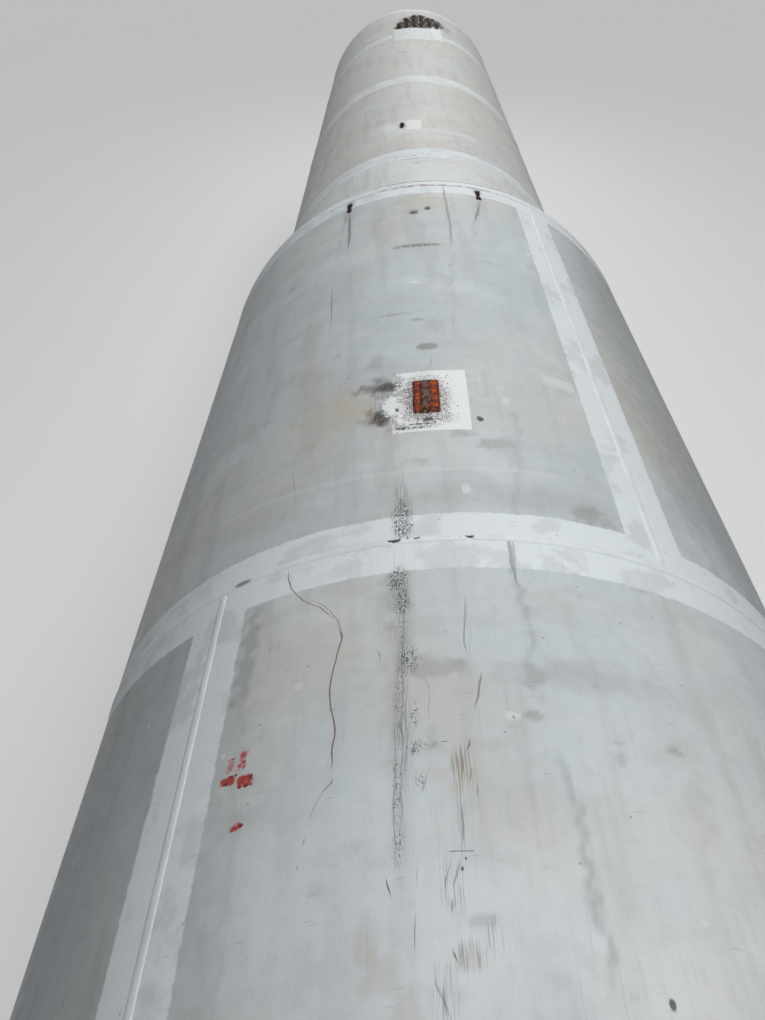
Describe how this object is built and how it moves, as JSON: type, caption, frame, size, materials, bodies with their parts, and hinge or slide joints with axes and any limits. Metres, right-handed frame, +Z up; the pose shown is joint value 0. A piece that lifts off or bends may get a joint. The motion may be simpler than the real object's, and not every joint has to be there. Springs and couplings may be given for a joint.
{
  "type": "horizontal pressure tank",
  "caption": "Long horizontal steel pressure tank that steps from a wide to a narrower shell, with dished ends, welded seams, a bolted manway, bottom nozzles and two saddles.",
  "frame": {"origin": "on the floor, under the middle of the vessel's whole length", "axes": "+Y along the vessel from the wide end to the narrow end, +Z up, +X to the right seen from the wide end"},
  "size_m": [2.5066, 14.7244, 3.0115],
  "materials": {
    "wide_paint": "satin light-grey paint, cool, streaked and stained",
    "cone_paint": "satin bluish-white paint",
    "narrow_paint": "satin warm light-grey paint, lightly scuffed",
    "weld_primer": "matt white contrast paint over weld beads",
    "saddle_paint": "satin mid-grey paint",
    "flange_paint": "satin light-grey paint on machined flanges",
    "rusted_steel": "burnt and rusted bare steel",
    "doubler_paint": "satin bluish-grey paint",
    "gasket": "matt dark gasket sheet"
  },
  "bodies": {
    "root": {"wide_head": "wide_paint", "wide_course_1": "wide_paint", "wide_course_2": "wide_paint", "cone": "cone_paint", "short_course": "cone_paint", "narrow_course_1": "narrow_paint", "narrow_course_2": "narrow_paint", "narrow_course_3": "narrow_paint", "narrow_head": "narrow_paint", "ring_weld_wide_head": "weld_primer", "ring_weld_wide": "weld_primer", "ring_weld_cone_wide": "weld_primer", "ring_weld_cone_narrow": "weld_primer", "ring_weld_short": "weld_primer", "ring_weld_narrow_1": "weld_primer", "ring_weld_narrow_2": "weld_primer", "ring_weld_narrow_head": "weld_primer", "seam_wide_1": "weld_primer", "seam_wide_2": "weld_primer", "seam_short": "weld_primer", "seam_narrow_1": "weld_primer", "seam_narrow_2": "weld_primer", "seam_narrow_3": "weld_primer", "manway_pad": "wide_paint", "manway_neck": "wide_paint", "manway_flange": "flange_paint", "manway_gasket": "gasket", "manway_cover": "flange_paint", "outlet_neck": "flange_paint", "outlet_flange": "flange_paint", "drain_neck": "flange_paint", "drain_flange": "flange_paint", "wide_wear_plate": "wide_paint", "wide_saddle_web": "saddle_paint", "wide_saddle_ribs": "saddle_paint", "wide_base_plate": "saddle_paint", "narrow_wear_plate": "narrow_paint", "narrow_saddle_web": "saddle_paint", "narrow_saddle_ribs": "saddle_paint", "narrow_base_plate": "saddle_paint", "lug_pad": "rusted_steel", "lug_stump": "rusted_steel", "bracket_stumps": "rusted_steel", "small_stump": "rusted_steel", "doubler_plate": "doubler_paint", "bracket_remains": "rusted_steel"}
  },
  "joints": []
}
